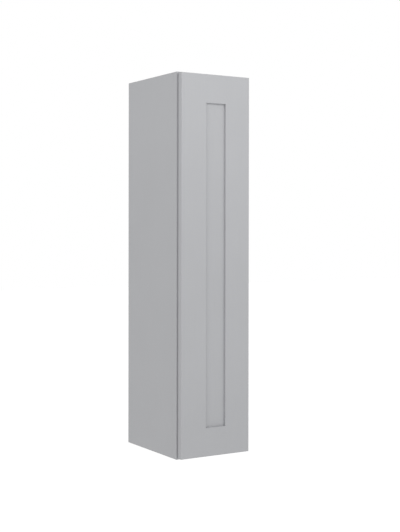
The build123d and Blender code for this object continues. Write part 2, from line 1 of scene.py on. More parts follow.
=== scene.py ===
"""Finish, fittings and studio for the painted wall cabinet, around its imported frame, in metres."""

import math

import bmesh
import bpy
from mathutils import Matrix, Vector


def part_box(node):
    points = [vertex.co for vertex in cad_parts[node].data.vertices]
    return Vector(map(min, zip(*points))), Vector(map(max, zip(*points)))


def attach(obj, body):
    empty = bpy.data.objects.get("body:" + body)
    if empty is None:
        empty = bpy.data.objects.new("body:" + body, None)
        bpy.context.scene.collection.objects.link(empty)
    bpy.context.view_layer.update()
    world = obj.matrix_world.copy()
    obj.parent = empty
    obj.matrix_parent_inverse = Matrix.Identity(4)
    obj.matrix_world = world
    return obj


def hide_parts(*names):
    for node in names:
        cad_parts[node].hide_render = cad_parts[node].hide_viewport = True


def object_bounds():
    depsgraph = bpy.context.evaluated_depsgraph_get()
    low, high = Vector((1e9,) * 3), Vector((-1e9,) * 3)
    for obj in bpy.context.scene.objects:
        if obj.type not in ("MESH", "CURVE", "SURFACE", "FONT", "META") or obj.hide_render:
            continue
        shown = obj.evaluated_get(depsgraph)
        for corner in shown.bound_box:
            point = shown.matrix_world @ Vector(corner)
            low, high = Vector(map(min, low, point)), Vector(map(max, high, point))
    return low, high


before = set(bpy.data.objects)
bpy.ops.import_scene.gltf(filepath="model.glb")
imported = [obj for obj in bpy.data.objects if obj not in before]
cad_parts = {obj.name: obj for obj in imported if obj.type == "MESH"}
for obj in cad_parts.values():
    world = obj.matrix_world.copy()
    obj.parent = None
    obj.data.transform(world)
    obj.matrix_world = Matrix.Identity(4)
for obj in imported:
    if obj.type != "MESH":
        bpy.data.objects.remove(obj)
cad_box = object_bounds()

# Photograph frame and camera
IMAGE_HEIGHT = 532
SENSOR_MM = 36.0
FOCAL_PX = 1064.7
OPTICAL_CENTRE_Y_PX = 234.0
CAMERA_PLACE = (-1.5864, -2.8104, 0.1006)
CAMERA_YAW_DEG = 31.483
CAMERA_PITCH_DEG = -0.258
CAMERA_ROLL_DEG = 0.082
VIEW_DEPTH = 200.0

# Studio: a softbox's direction is its angle to the left of the door's front, and its height angle
HANGING_HEIGHT = 1.372
FLOOR_SIZE = 60.0
FLOOR_WHITE = 0.66
FLOOR_BOUNCE = 0.38
FLOOR_ROUGHNESS = 0.9
AMBIENT = 0.428
STUDIO_AIM = (0.0, -0.2, 0.0)
SOFTBOX_DISTANCE = 2.6
SOFTBOX_SIZE = 1.4
KEY_WATTS = 23.2
KEY_ANGLE_DEG = -10.0
KEY_HEIGHT_DEG = 35.0
FILL_WATTS = 10.7
FILL_ANGLE_DEG = 80.0
FILL_HEIGHT_DEG = 44.0
LOW_FILL_WATTS = 6.5
LOW_FILL_ANGLE_DEG = 50.0
LOW_FILL_HEIGHT_DEG = 10.0

# Colours, linear
WHITE = (1.0, 1.0, 1.0)
FLOOR_COLOUR = (0.8, 0.8, 0.8)
PAINT_GREY = (0.462, 0.467, 0.483)
# Lighter paint along the edges: partly thin worn paint, partly a painted highlight
PAINT_EDGE_WEAR_AND_HIGHLIGHT = (0.500, 0.504, 0.516)
BIRCH_LIGHT = (0.655, 0.480, 0.290)
BIRCH_DARK = (0.520, 0.345, 0.185)
PLY_GLUE = (0.300, 0.180, 0.090)
NICKEL = (0.560, 0.550, 0.530)
ZINC = (0.520, 0.540, 0.560)
BUMPER_CLEAR = (0.800, 0.810, 0.800)

# Darkest and lightest tone that a noise gives a colour, and where in the noise they are reached
TONE_STOPS = (0.3, 0.7)
PAINT_TONES = (0.975, 1.025)
STEEL_TONES = (0.88, 1.06)
BUMPER_TONES = (0.94, 1.0)

# Tone of the screws against the colour of their plating
SCREW_NICKEL_TONE = 0.92
SCREW_ZINC_TONE = 1.08

# Birch: where its figure goes from dark through the tones of its light, and where a raw edge does
BIRCH_STOPS = (0.30, 0.45, 0.60, 0.78)
BIRCH_LIGHT_TONES = (0.93, 1.0, 1.08)
PLY_STOPS = (0.15, 0.75)

# Noise, in cycles a metre: one scale all round, or a pair along the grain and across it
PAINT_CLOUD = 5.0
PAINT_STREAK = (9.0, 420.0)
# Patches that break up the lighter edge paint, which is partly wear and partly a painted highlight
PAINT_EDGE_WEAR_AND_HIGHLIGHT_PATCH = 90.0
PAINT_SHEEN = 40.0
PAINT_FIBRE = (14.0, 700.0)
ORANGE_PEEL = 650.0
BIRCH_FIGURE = (3.2, 26.0)
BIRCH_PORES = (60.0, 1300.0)
BIRCH_SHEEN = 14.0
PLY_FIBRE = 500.0
STEEL_DULLING = 180.0
STEEL_ROLLING = (200.0, 4000.0)
BUMPER_HAZE = 900.0

# Relief: the height of the detail, and how strongly it shows
PAINT_FIBRE_RELIEF = (0.00006, 0.5)
ORANGE_PEEL_RELIEF = (0.00005, 0.45)
PORE_RELIEF = (0.00006, 0.5)
ROLLING_RELIEF = (0.00001, 0.4)

# Roughness, how far noise spreads it, and what worn edges and pores do to it
PAINT_ROUGHNESS = 0.40
PAINT_ROUGHNESS_SPREAD = 0.10
PAINT_EDGE_POLISH = 0.10
WOOD_ROUGHNESS = 0.30
WOOD_ROUGHNESS_SPREAD = 0.12
PORE_DULLING = 0.12
HINGE_ROUGHNESS = 0.24
PIN_ROUGHNESS = 0.22
BRACKET_ROUGHNESS = 0.36
SCREW_ROUGHNESS = 0.30
STEEL_ROUGHNESS_SPREAD = 0.16
BUMPER_ROUGHNESS = 0.30

# Clear plastic of the bumpers
BUMPER_TRANSMISSION = 0.6
BUMPER_IOR = 1.48

# Paint: the share of the cloud in its tone, the rest being the streaks
CLOUD_SHARE = 0.6

# Wood: noise below the limit is a pore, and a glue line is a share of its ply's thickness
PORE_LIMIT = 0.40
PORE_SHADE = 0.22
PLY_THICKNESS = 0.0014
GLUE_SHARE = 0.12
GLUE_SHADE = 0.7
ODD_PLY_TONE = 0.45
PLY_FIBRE_TONE = 0.4
WOOD_EDGE_SHADE = 0.35

# Steel: how far its edges are rubbed, and how bright that leaves them
STEEL_EDGE_RUB = 0.6
STEEL_EDGE_BRIGHTNESS = 1.25

# Sides of a board, each an axis and an end of it; a point nearer than the margin is on the side
X, Y, Z = 0, 1, 2
LEFT, RIGHT = (X, -1), (X, 1)
BACK = (Y, 1)
BOTTOM, TOP = (Z, -1), (Z, 1)
SIDE_MARGIN = 0.0001

# How far the edges of each finish are eased
PAINT_EDGE_RADIUS = 0.0005
STILE_EDGE_RADIUS = 0.0014
WOOD_EDGE_RADIUS = 0.0005
STEEL_EDGE_RADIUS = 0.00025
EDGE_CONTRAST = 3.4

# Directions that fittings face
TO_LEFT = (-1.0, 0.0, 0.0)
TO_RIGHT = (1.0, 0.0, 0.0)
TO_BACK = (0.0, 1.0, 0.0)

# Hinges: the screws of the arms and cups, and the adjusting screw on each arm
HINGE_PLACES = ("top", "middle", "bottom")
ARM_SCREW_SPACING = 0.028
ARM_SCREW_LENGTH = 0.016
ARM_SCREW_RADIUS = 0.0018
ARM_SCREW_HEAD = 0.0036
ARM_SCREW_HEAD_HEIGHT = 0.0017
ADJUSTER_SHANK_RADIUS = 0.00185
ADJUSTER_RADIUS = 0.0037
ADJUSTER_HEIGHT = 0.0009
ADJUSTER_LENGTH = 0.0035
CUP_SCREW_INSET = 0.010
CUP_SCREW_SPACING = 0.045
CUP_SCREW_LENGTH = 0.012
CUP_SCREW_RADIUS = 0.0015
CUP_SCREW_HEAD = 0.0033
CUP_SCREW_HEAD_DEPTH = 0.0018
CUP_SCREW_RIM = 0.0001

# Shelf pins and corner brackets, both bent from one thickness of sheet
SHELVES = ("shelf_1", "shelf_2", "shelf_3")
SHEET = 0.0015
PIN_WIDTH = 0.010
PIN_HEIGHT = 0.013
PIN_LEDGE = 0.011
PIN_STEM_RADIUS = 0.0025
PIN_STEM_LENGTH = 0.0094
PIN_STEM_CHAMFER = 0.000625
PIN_BEND = 0.0020
PIN_CORNER = 0.0022
BRACKET_WIDTH = 0.016
BRACKET_HEIGHT = 0.0105
BRACKET_REACH = 0.018
BRACKET_BEND = 0.0024
BRACKET_CORNER = 0.0030
BRACKET_SCREW_LENGTH = 0.009
BRACKET_SCREW_RADIUS = 0.0015
BRACKET_SCREW_HEAD = 0.0030
BRACKET_SCREW_HEAD_HEIGHT = 0.0014

# Bumpers, at the corners of the door's latch side
BUMPER_RADIUS = 0.0048
BUMPER_CHAMFER = 0.00025
BUMPER_WALL = 0.0008
BUMPER_FULLNESS = 2.4

# How the small fittings are shaped
TURN_STEPS = 24
CROWN_STEPS = 6
CORNER_STEPS = 4
EASED_EDGE = 0.00018
EASED_EDGE_STEPS = 2
SHARP_EDGE_DEG = 50.0
SMOOTH_ANGLE_DEG = 35.0
MERGE_DISTANCE = 1e-7

# Screws: the point is a share of the shank's radius, and each is turned on from the one before
SCREW_TIP_LENGTH = 0.0025
SCREW_POINT = 0.25
SCREW_TURN_DEG = 77.0

# Screw heads: the cross's width and length are shares of the head's radius, its rim of the height
PAN_FULLNESS = 3.5
TOP_FACE_SLOPE = 0.3
CROSS_WIDTH = 0.30
CROSS_LENGTH = 1.10
CROSS_TAPER = 0.62
CROSS_DEPTH = 0.0011
CROSS_RIM = 0.7

# Sockets of the colour mix node
MIX_FACTOR, MIX_FIRST, MIX_SECOND, MIX_RESULT = 0, 6, 7, 2

# Half the width inside the box
INNER_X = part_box("right_side_panel")[0].x


def plug(tree, socket, value):
    """Set a socket, or link it where the value is a socket itself."""
    if isinstance(value, bpy.types.NodeSocket):
        tree.links.new(value, socket)
    elif socket.type == "RGBA":
        socket.default_value = (*value, 1.0)
    else:
        socket.default_value = value


def add_node(tree, kind, **inputs):
    """Add a shader node; an input is a value, or a socket to link."""
    made = tree.nodes.new(kind)
    for name, value in inputs.items():
        plug(tree, made.inputs[name], value)
    return made


def maths(tree, operation, *values, clamp=False):
    """One math node on its values or sockets."""
    made = tree.nodes.new("ShaderNodeMath")
    made.operation = operation
    made.use_clamp = clamp
    for socket, value in zip(made.inputs, values):
        plug(tree, socket, value)
    return made.outputs[0]


def mix_colour(tree, factor, first, second):
    """Blend two colours by a factor."""
    made = tree.nodes.new("ShaderNodeMix")
    made.data_type = "RGBA"
    plug(tree, made.inputs[MIX_FACTOR], factor)
    plug(tree, made.inputs[MIX_FIRST], first)
    plug(tree, made.inputs[MIX_SECOND], second)
    return made.outputs[MIX_RESULT]


def new_finish(name):
    """An empty principled material: the material, its tree and its shader."""
    material = bpy.data.materials.new(name)
    material.use_nodes = True
    tree = material.node_tree
    return material, tree, tree.nodes["Principled BSDF"]


def object_point(tree):
    """The point on the piece, in metres."""
    return tree.nodes.new("ShaderNodeTexCoord").outputs["Object"]


def coordinate(tree, point, axis):
    """The point's place along one axis."""
    return add_node(tree, "ShaderNodeSeparateXYZ", Vector=point).outputs[axis]


def grain(tree, point, scale, axis=None, detail=4.0, roughness=0.55, distortion=0.0):
    """Noise at one scale all round, or at a pair of scales along an axis and across it."""
    if axis is None:
        stretch = (scale, scale, scale)
    else:
        along, across = scale
        stretch = tuple(along if index == axis else across for index in (X, Y, Z))
    mapping = add_node(tree, "ShaderNodeMapping", Vector=point, Scale=stretch)
    noise = add_node(
        tree,
        "ShaderNodeTexNoise",
        Vector=mapping.outputs[0],
        Scale=1.0,
        Detail=detail,
        Roughness=roughness,
        Distortion=distortion,
    )
    return noise.outputs[0]


def ramp(tree, value, stops, colours):
    """A colour ramp, with a linear colour at each of its stops."""
    made = add_node(tree, "ShaderNodeValToRGB", Fac=value)
    elements = made.color_ramp.elements
    for stop in stops[len(elements):]:
        elements.new(stop)
    for element, stop, colour in zip(elements, stops, colours):
        element.position = stop
        element.color = (*colour, 1.0)
    return made.outputs[0]


def scaled_colour(colour, factor):
    """A colour made lighter or darker."""
    return tuple(channel * factor for channel in colour)


def toned(tree, noise, colour, tones):
    """A colour that wanders between its darkest and its lightest tone."""
    return ramp(tree, noise, TONE_STOPS, [scaled_colour(colour, tone) for tone in tones])


def relief(tree, height, shape, under):
    """A bump from a height, over the shading under it; its shape is its distance and strength."""
    distance, strength = shape
    made = add_node(
        tree, "ShaderNodeBump", Height=height, Distance=distance, Strength=strength, Normal=under
    )
    return made.outputs[0]


def eased_edges(tree, radius):
    """Shading rounded over a piece's edges, and a mask that rises to one along them."""
    rounded = add_node(tree, "ShaderNodeBevel", Radius=radius).outputs[0]
    agreement = tree.nodes.new("ShaderNodeVectorMath")
    agreement.operation = "DOT_PRODUCT"
    plug(tree, agreement.inputs[0], rounded)
    plug(tree, agreement.inputs[1], tree.nodes.new("ShaderNodeNewGeometry").outputs["Normal"])
    bend = maths(tree, "SUBTRACT", 1.0, agreement.outputs["Value"])
    return rounded, maths(tree, "MULTIPLY", bend, EDGE_CONTRAST, clamp=True)


def on_side(tree, point, board, side):
    """One on a side of a board, else zero."""
    low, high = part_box(board)
    axis, end = side
    place = coordinate(tree, point, axis)
    if end > 0:
        return maths(tree, "GREATER_THAN", place, high[axis] - SIDE_MARGIN)
    return maths(tree, "LESS_THAN", place, low[axis] + SIDE_MARGIN)


def on_sides(tree, point, board, first, *others):
    """One on any of the given sides of a board, else zero."""
    total = on_side(tree, point, board, first)
    for side in others:
        total = maths(tree, "MAXIMUM", total, on_side(tree, point, board, side))
    return total


def paint_colour(tree, point, axis, edges):
    """Sprayed grey with a faint cloud, a trace of the wood's grain, and lighter paint on the edges that
    is partly thin worn paint and partly a painted highlight.
    """
    cloud = grain(tree, point, PAINT_CLOUD, detail=3.0)
    streak = grain(tree, point, PAINT_STREAK, axis, detail=5.0)
    streaked = maths(tree, "MULTIPLY", streak, 1.0 - CLOUD_SHARE)
    film = toned(tree, maths(tree, "MULTIPLY_ADD", cloud, CLOUD_SHARE, streaked), PAINT_GREY, PAINT_TONES)
    patches = grain(tree, point, PAINT_EDGE_WEAR_AND_HIGHLIGHT_PATCH)
    # Edges lighter in patches: partly thin worn paint, partly a painted highlight
    return mix_colour(tree, maths(tree, "MULTIPLY", edges, patches), film, PAINT_EDGE_WEAR_AND_HIGHLIGHT)


def paint_roughness(tree, point, edges):
    """An uneven satin sheen, polished by handling along the edges."""
    sheen = grain(tree, point, PAINT_SHEEN, detail=3.0)
    spread = maths(tree, "MULTIPLY_ADD", sheen, PAINT_ROUGHNESS_SPREAD, PAINT_ROUGHNESS)
    return maths(tree, "MULTIPLY_ADD", edges, -PAINT_EDGE_POLISH, spread)


def paint_relief(tree, point, axis, rounded):
    """Orange peel over a trace of grain, rounded over the edges."""
    fibre = grain(tree, point, PAINT_FIBRE, axis, detail=6.0)
    peel = grain(tree, point, ORANGE_PEEL, detail=2.0, roughness=0.4)
    return relief(tree, peel, ORANGE_PEEL_RELIEF, relief(tree, fibre, PAINT_FIBRE_RELIEF, rounded))


def satin_paint(name, axis, edge_radius=PAINT_EDGE_RADIUS):
    """Satin cabinet paint on wood whose grain runs along one axis."""
    material, tree, shader = new_finish(name)
    point = object_point(tree)
    rounded, edges = eased_edges(tree, edge_radius)
    plug(tree, shader.inputs["Base Color"], paint_colour(tree, point, axis, edges))
    plug(tree, shader.inputs["Roughness"], paint_roughness(tree, point, edges))
    plug(tree, shader.inputs["Normal"], paint_relief(tree, point, axis, rounded))
    return material


def birch_pores(tree, point, axis):
    """Fine pores along the grain."""
    return grain(tree, point, BIRCH_PORES, axis, detail=3.0)


def veneer_colour(tree, point, axis, pores):
    """Rotary-cut birch: pale wandering figure, darker in its pores."""
    figure = grain(tree, point, BIRCH_FIGURE, axis, detail=5.0, roughness=0.6, distortion=1.1)
    light = [scaled_colour(BIRCH_LIGHT, tone) for tone in BIRCH_LIGHT_TONES]
    wood = ramp(tree, figure, BIRCH_STOPS, [BIRCH_DARK, *light])
    in_pore = maths(tree, "LESS_THAN", pores, PORE_LIMIT)
    return mix_colour(tree, maths(tree, "MULTIPLY", in_pore, PORE_SHADE), wood, BIRCH_DARK)


def ply_colour(tree, point, axis, start):
    """Alternate plies and glue lines across the board's thickness."""
    inwards = maths(tree, "SUBTRACT", coordinate(tree, point, axis), start)
    depth = maths(tree, "DIVIDE", inwards, PLY_THICKNESS)
    odd_ply = maths(tree, "LESS_THAN", maths(tree, "FLOORED_MODULO", depth, 2.0), 1.0)
    glue_line = maths(tree, "LESS_THAN", maths(tree, "FLOORED_MODULO", depth, 1.0), GLUE_SHARE)
    fibre = maths(tree, "MULTIPLY", grain(tree, point, PLY_FIBRE, detail=3.0), PLY_FIBRE_TONE)
    tone = maths(tree, "MULTIPLY_ADD", odd_ply, ODD_PLY_TONE, fibre)
    wood = ramp(tree, tone, PLY_STOPS, [BIRCH_DARK, BIRCH_LIGHT])
    return mix_colour(tree, maths(tree, "MULTIPLY", glue_line, GLUE_SHADE), wood, PLY_GLUE)


def wood_roughness(tree, point, pores):
    """Clear satin, duller in the pores and in faint patches."""
    patches = grain(tree, point, BIRCH_SHEEN, detail=3.0)
    spread = maths(tree, "MULTIPLY_ADD", patches, WOOD_ROUGHNESS_SPREAD, WOOD_ROUGHNESS)
    return maths(tree, "MULTIPLY_ADD", pores, PORE_DULLING, spread)


def clear_wood(name, axis, board=None, thickness_axis=None, raw_sides=()):
    """Clear-coated birch plywood, whose plies show on the raw sides of a board."""
    material, tree, shader = new_finish(name)
    point = object_point(tree)
    pores = birch_pores(tree, point, axis)
    colour = veneer_colour(tree, point, axis, pores)
    if raw_sides:
        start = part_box(board)[0][thickness_axis]
        plies = ply_colour(tree, point, thickness_axis, start)
        colour = mix_colour(tree, on_sides(tree, point, board, *raw_sides), colour, plies)
    rounded, edges = eased_edges(tree, WOOD_EDGE_RADIUS)
    handled = maths(tree, "MULTIPLY", edges, WOOD_EDGE_SHADE)
    plug(tree, shader.inputs["Base Color"], mix_colour(tree, handled, colour, BIRCH_DARK))
    plug(tree, shader.inputs["Roughness"], wood_roughness(tree, point, pores))
    plug(tree, shader.inputs["Normal"], relief(tree, pores, PORE_RELIEF, rounded))
    return material


def side_board(name, board, inner_side):
    """A side panel: painted outside, clear birch inside, plies on its raw edges."""
    material, tree, shader = new_finish(name)
    point = object_point(tree)
    rounded, edges = eased_edges(tree, PAINT_EDGE_RADIUS)
    paint = paint_colour(tree, point, Z, edges)
    veneer = veneer_colour(tree, point, Z, birch_pores(tree, point, Z))
    plies = ply_colour(tree, point, X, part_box(board)[0].x)
    raw = on_sides(tree, point, board, TOP, BOTTOM, BACK)
    inside = on_side(tree, point, board, inner_side)
    colour = mix_colour(tree, inside, mix_colour(tree, raw, paint, plies), veneer)
    plug(tree, shader.inputs["Base Color"], colour)
    plug(tree, shader.inputs["Roughness"], paint_roughness(tree, point, edges))
    plug(tree, shader.inputs["Normal"], paint_relief(tree, point, Z, rounded))
    return material


def plated_steel(name, colour, roughness, rolled_axis):
    """Plated sheet steel with a fine rolled grain, slight dulling and brighter edges."""
    material, tree, shader = new_finish(name)
    point = object_point(tree)
    rounded, edges = eased_edges(tree, STEEL_EDGE_RADIUS)
    dulling = grain(tree, point, STEEL_DULLING)
    rubbed = maths(tree, "MULTIPLY", edges, STEEL_EDGE_RUB)
    bright = scaled_colour(colour, STEEL_EDGE_BRIGHTNESS)
    plate = mix_colour(tree, rubbed, toned(tree, dulling, colour, STEEL_TONES), bright)
    plug(tree, shader.inputs["Base Color"], plate)
    plug(tree, shader.inputs["Metallic"], 1.0)
    spread = maths(tree, "MULTIPLY_ADD", dulling, STEEL_ROUGHNESS_SPREAD, roughness)
    plug(tree, shader.inputs["Roughness"], spread)
    rolling = grain(tree, point, STEEL_ROLLING, rolled_axis, detail=2.0)
    plug(tree, shader.inputs["Normal"], relief(tree, rolling, ROLLING_RELIEF, rounded))
    return material


def soft_clear(name):
    """Clear soft plastic of the door bumpers, faintly hazy."""
    material, tree, shader = new_finish(name)
    haze = grain(tree, object_point(tree), BUMPER_HAZE, detail=2.0)
    plug(tree, shader.inputs["Base Color"], toned(tree, haze, BUMPER_CLEAR, BUMPER_TONES))
    plug(tree, shader.inputs["Roughness"], BUMPER_ROUGHNESS)
    plug(tree, shader.inputs["Transmission Weight"], BUMPER_TRANSMISSION)
    plug(tree, shader.inputs["IOR"], BUMPER_IOR)
    return material


def dress(material, *nodes):
    """Give frame nodes one material."""
    for node in nodes:
        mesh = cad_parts[node].data
        mesh.materials.clear()
        mesh.materials.append(material)


def dress_box():
    """Paint and plywood on the box, its frame and its shelves."""
    dress(side_board("left_side_board", "left_side_panel", RIGHT), "left_side_panel")
    dress(side_board("right_side_board", "right_side_panel", LEFT), "right_side_panel")
    dress(satin_paint("paint_upright", Z, STILE_EDGE_RADIUS), "left_frame_stile", "right_frame_stile")
    dress(satin_paint("paint_level", X), "top_frame_rail", "bottom_frame_rail")
    birch = clear_wood("birch_level", X)
    dress(birch, "top_panel", "bottom_panel", "upper_hanging_rail", "lower_hanging_rail")
    dress(clear_wood("back_birch", Z, "back_panel", Y, (TOP, BOTTOM)), "back_panel")
    for shelf in SHELVES:
        dress(clear_wood(f"{shelf}_birch", X, shelf, Z, (RIGHT, LEFT, BACK)), shelf)


def dress_door():
    """Paint on the door's five pieces."""
    dress(satin_paint("door_paint_upright", Z), "door_hinge_stile", "door_latch_stile", "door_panel")
    dress(satin_paint("door_paint_level", X), "door_top_rail", "door_bottom_rail")


def dress_hinges():
    """Nickel on the three hinges."""
    nickel = plated_steel("hinge_nickel", NICKEL, HINGE_ROUGHNESS, Z)
    for hinge in HINGE_PLACES:
        dress(nickel, *(f"{hinge}_hinge_{part}" for part in ("arm", "cup", "pin", "spring")))


def turned(profile):
    """A solid turned about Z from a profile of radius and height pairs."""
    bm = bmesh.new()
    points = [bm.verts.new((radius, 0.0, height)) for radius, height in profile]
    line = [bm.edges.new(pair) for pair in zip(points, points[1:])]
    bmesh.ops.spin(
        bm,
        geom=points + line,
        cent=(0.0, 0.0, 0.0),
        axis=(0.0, 0.0, 1.0),
        angle=math.tau,
        steps=TURN_STEPS,
        use_merge=True,
    )
    bmesh.ops.remove_doubles(bm, verts=bm.verts, dist=MERGE_DISTANCE)
    bmesh.ops.recalc_face_normals(bm, faces=bm.faces)
    return bm


def crowned(radius, low, high, fullness):
    """The profile of a rounded top, from its rim at one height to its crown on the axis."""
    profile = []
    for step in range(CROWN_STEPS + 1):
        turn = math.pi / 2 * step / CROWN_STEPS
        across, up = math.cos(turn) ** (2 / fullness), math.sin(turn) ** (2 / fullness)
        profile.append((radius * across, low + (high - low) * up))
    return profile


def rounded_off(bm, parts, size, steps, affect="EDGES"):
    """Round edges, or corners."""
    bmesh.ops.bevel(
        bm, geom=parts, offset=size, segments=steps, profile=0.5, affect=affect, material=-1
    )


def ease(bm):
    """Break the sharp edges."""
    sharp_angle = math.radians(SHARP_EDGE_DEG)
    sharp = [edge for edge in bm.edges if edge.is_manifold and edge.calc_face_angle(0.0) > sharp_angle]
    rounded_off(bm, sharp, EASED_EDGE, EASED_EDGE_STEPS)


def top_faces(bm, level):
    """The faces of a screw head's top, above a level."""
    return [
        face
        for face in bm.faces
        if face.normal.z > TOP_FACE_SLOPE and face.calc_center_median().z > level
    ]


def sink_cross(bm, head_radius, top, level):
    """Sink a cross recess into a screw head, on the faces above a level."""
    half_width = CROSS_WIDTH * head_radius / 2
    half_length = CROSS_LENGTH * head_radius / 2
    for reach in (-half_length, -half_width, half_width, half_length):
        for normal in (Vector((1.0, 0.0, 0.0)), Vector((0.0, 1.0, 0.0))):
            cap = top_faces(bm, level)
            rim = {edge for face in cap for edge in face.edges}
            corners = {corner for face in cap for corner in face.verts}
            bmesh.ops.bisect_plane(
                bm,
                geom=[*cap, *rim, *corners],
                dist=MERGE_DISTANCE,
                plane_co=reach * normal,
                plane_no=normal,
            )
    cross = []
    for face in top_faces(bm, level):
        middle = face.calc_center_median()
        across, along = sorted((abs(middle.x), abs(middle.y)))
        if across < half_width and along < half_length:
            cross.append(face)
    sunk = bmesh.ops.extrude_face_region(bm, geom=cross)["geom"]
    bmesh.ops.delete(bm, geom=cross, context="FACES")
    floor = [part for part in sunk if isinstance(part, bmesh.types.BMVert)]
    bmesh.ops.scale(bm, vec=(CROSS_TAPER, CROSS_TAPER, 0.0), verts=floor)
    bmesh.ops.translate(bm, vec=(0.0, 0.0, top - CROSS_DEPTH), verts=floor)


def shank(radius, length):
    """The profile of a screw below its head, from its tip up."""
    return [(0.0, -length), (radius * SCREW_POINT, -length), (radius, SCREW_TIP_LENGTH - length)]


def pan_screw(radius, length, head_radius, head_height):
    """A pan-head screw with a cross recess, seated at the origin."""
    profile = shank(radius, length) + [(radius, 0.0)]
    bm = turned(profile + crowned(head_radius, 0.0, head_height, PAN_FULLNESS))
    sink_cross(bm, head_radius, head_height, CROSS_RIM * head_height)
    return bm


def flush_screw():
    """A countersunk screw with a cross recess, its flat face at the origin."""
    profile = shank(CUP_SCREW_RADIUS, CUP_SCREW_LENGTH) + [
        (CUP_SCREW_RADIUS, -CUP_SCREW_HEAD_DEPTH),
        (CUP_SCREW_HEAD, -CUP_SCREW_RIM),
        (CUP_SCREW_HEAD - CUP_SCREW_RIM, 0.0),
        (0.0, 0.0),
    ]
    bm = turned(profile)
    sink_cross(bm, CUP_SCREW_HEAD, 0.0, -MERGE_DISTANCE)
    return bm


def bent_angle(height, reach, width, bend, corner):
    """A bent steel angle: one leg up the wall at X 0, the other out along the floor at Z 0."""
    bm = bmesh.new()
    half = width / 2
    outline = ((0.0, -half, height), (0.0, -half, 0.0), (reach, -half, 0.0))
    line = [bm.verts.new(place) for place in outline]
    edges = [bm.edges.new(pair) for pair in zip(line, line[1:])]
    swept = bmesh.ops.extrude_edge_only(bm, edges=edges)["geom"]
    far = [part for part in swept if isinstance(part, bmesh.types.BMVert)]
    bmesh.ops.translate(bm, vec=(0.0, width, 0.0), verts=far)
    fold = [edge for edge in bm.edges if len(edge.link_faces) == 2]
    ends = [point for point in bm.verts if len(point.link_edges) == 2]
    rounded_off(bm, ends, corner, CORNER_STEPS, affect="VERTICES")
    rounded_off(bm, fold, bend, CORNER_STEPS)
    bmesh.ops.recalc_face_normals(bm, faces=bm.faces)
    bmesh.ops.solidify(bm, geom=bm.faces[:], thickness=SHEET)
    ease(bm)
    return bm


def shelf_pin():
    """A pin in a left side panel: its ledge meets the shelf at Z 0, its stem goes into the side."""
    bm = bent_angle(PIN_HEIGHT, PIN_LEDGE, PIN_WIDTH, PIN_BEND, PIN_CORNER)
    bmesh.ops.scale(bm, vec=(1.0, 1.0, -1.0), verts=bm.verts)
    stem = turned([
        (0.0, -PIN_STEM_LENGTH),
        (PIN_STEM_RADIUS - PIN_STEM_CHAMFER, -PIN_STEM_LENGTH),
        (PIN_STEM_RADIUS, PIN_STEM_CHAMFER - PIN_STEM_LENGTH),
        (PIN_STEM_RADIUS, SHEET / 2),
        (0.0, SHEET / 2),
    ])
    place = stood((0.0, 0.0, -PIN_HEIGHT / 2), TO_RIGHT)
    return stamped([(bm, [Matrix.Identity(4)]), (stem, [place])])


def stood(place, outward, turn_deg=0.0):
    """Where a fitting stands: at a place, with its own Z facing outward."""
    facing = Vector(outward).to_track_quat("Z", "Y").to_matrix().to_4x4()
    return Matrix.Translation(place) @ facing @ Matrix.Rotation(math.radians(turn_deg), 4, "Z")


def driven(places):
    """Screws at places and outward directions, each turned to where its driver left it."""
    return [
        stood(place, outward, index * SCREW_TURN_DEG)
        for index, (place, outward) in enumerate(places)
    ]


def mirrored(place, side, rise=1.0):
    """Where a left-hand fitting stands, mirrored on the right side and upside down for a rise of -1."""
    return Matrix.Translation(place) @ Matrix.Diagonal((-side, 1.0, rise, 1.0))


def stamped(patterns):
    """One mesh with every pattern at each of its places; the patterns are used up."""
    bm = bmesh.new()
    for pattern, places in patterns:
        mould = bpy.data.meshes.new("mould")
        pattern.to_mesh(mould)
        pattern.free()
        for place in places:
            first = len(bm.verts)
            bm.from_mesh(mould)
            bm.verts.ensure_lookup_table()
            bmesh.ops.transform(bm, matrix=place, verts=bm.verts[first:])
        bpy.data.meshes.remove(mould)
    return bm


def fit_piece(name, bm, material, body, slot, *replaced):
    """Finish a new piece: its mesh, its material, the body it rides on and the nodes it replaces."""
    bmesh.ops.recalc_face_normals(bm, faces=bm.faces)
    mesh = bpy.data.meshes.new(name)
    bm.to_mesh(mesh)
    bm.free()
    mesh.materials.append(material)
    mesh.shade_smooth()
    mesh.set_sharp_from_angle(angle=math.radians(SMOOTH_ANGLE_DEG))
    piece = bpy.data.objects.new(name, mesh)
    bpy.context.scene.collection.objects.link(piece)
    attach(piece, body)
    if replaced:
        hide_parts(*replaced)


def fit_arm_screws(nickel):
    """The screws through the hinge arms into the frame, and the adjusting screw between each two."""
    stile_low, stile_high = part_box("right_frame_stile")
    middle_y = (stile_low.y + stile_high.y) / 2
    held, adjusting = [], []
    for hinge in HINGE_PLACES:
        low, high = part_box(f"{hinge}_hinge_arm")
        level = (low.z + high.z) / 2
        for side in (-1, 1):
            held.append(((low.x, middle_y, level + side * ARM_SCREW_SPACING / 2), TO_LEFT))
        adjusting.append(((low.x, middle_y, level), TO_LEFT))
    screw = pan_screw(ARM_SCREW_RADIUS, ARM_SCREW_LENGTH, ARM_SCREW_HEAD, ARM_SCREW_HEAD_HEIGHT)
    screws = stamped([(screw, driven(held))])
    fit_piece("hinge_base_screws", screws, nickel, "box", "hinge_steel", "hinge_arm_screws")
    adjuster = pan_screw(ADJUSTER_SHANK_RADIUS, ADJUSTER_LENGTH, ADJUSTER_RADIUS, ADJUSTER_HEIGHT)
    adjusters = stamped([(adjuster, driven(adjusting))])
    fit_piece("hinge_adjusting_screws", adjusters, nickel, "box", "hinge_steel")


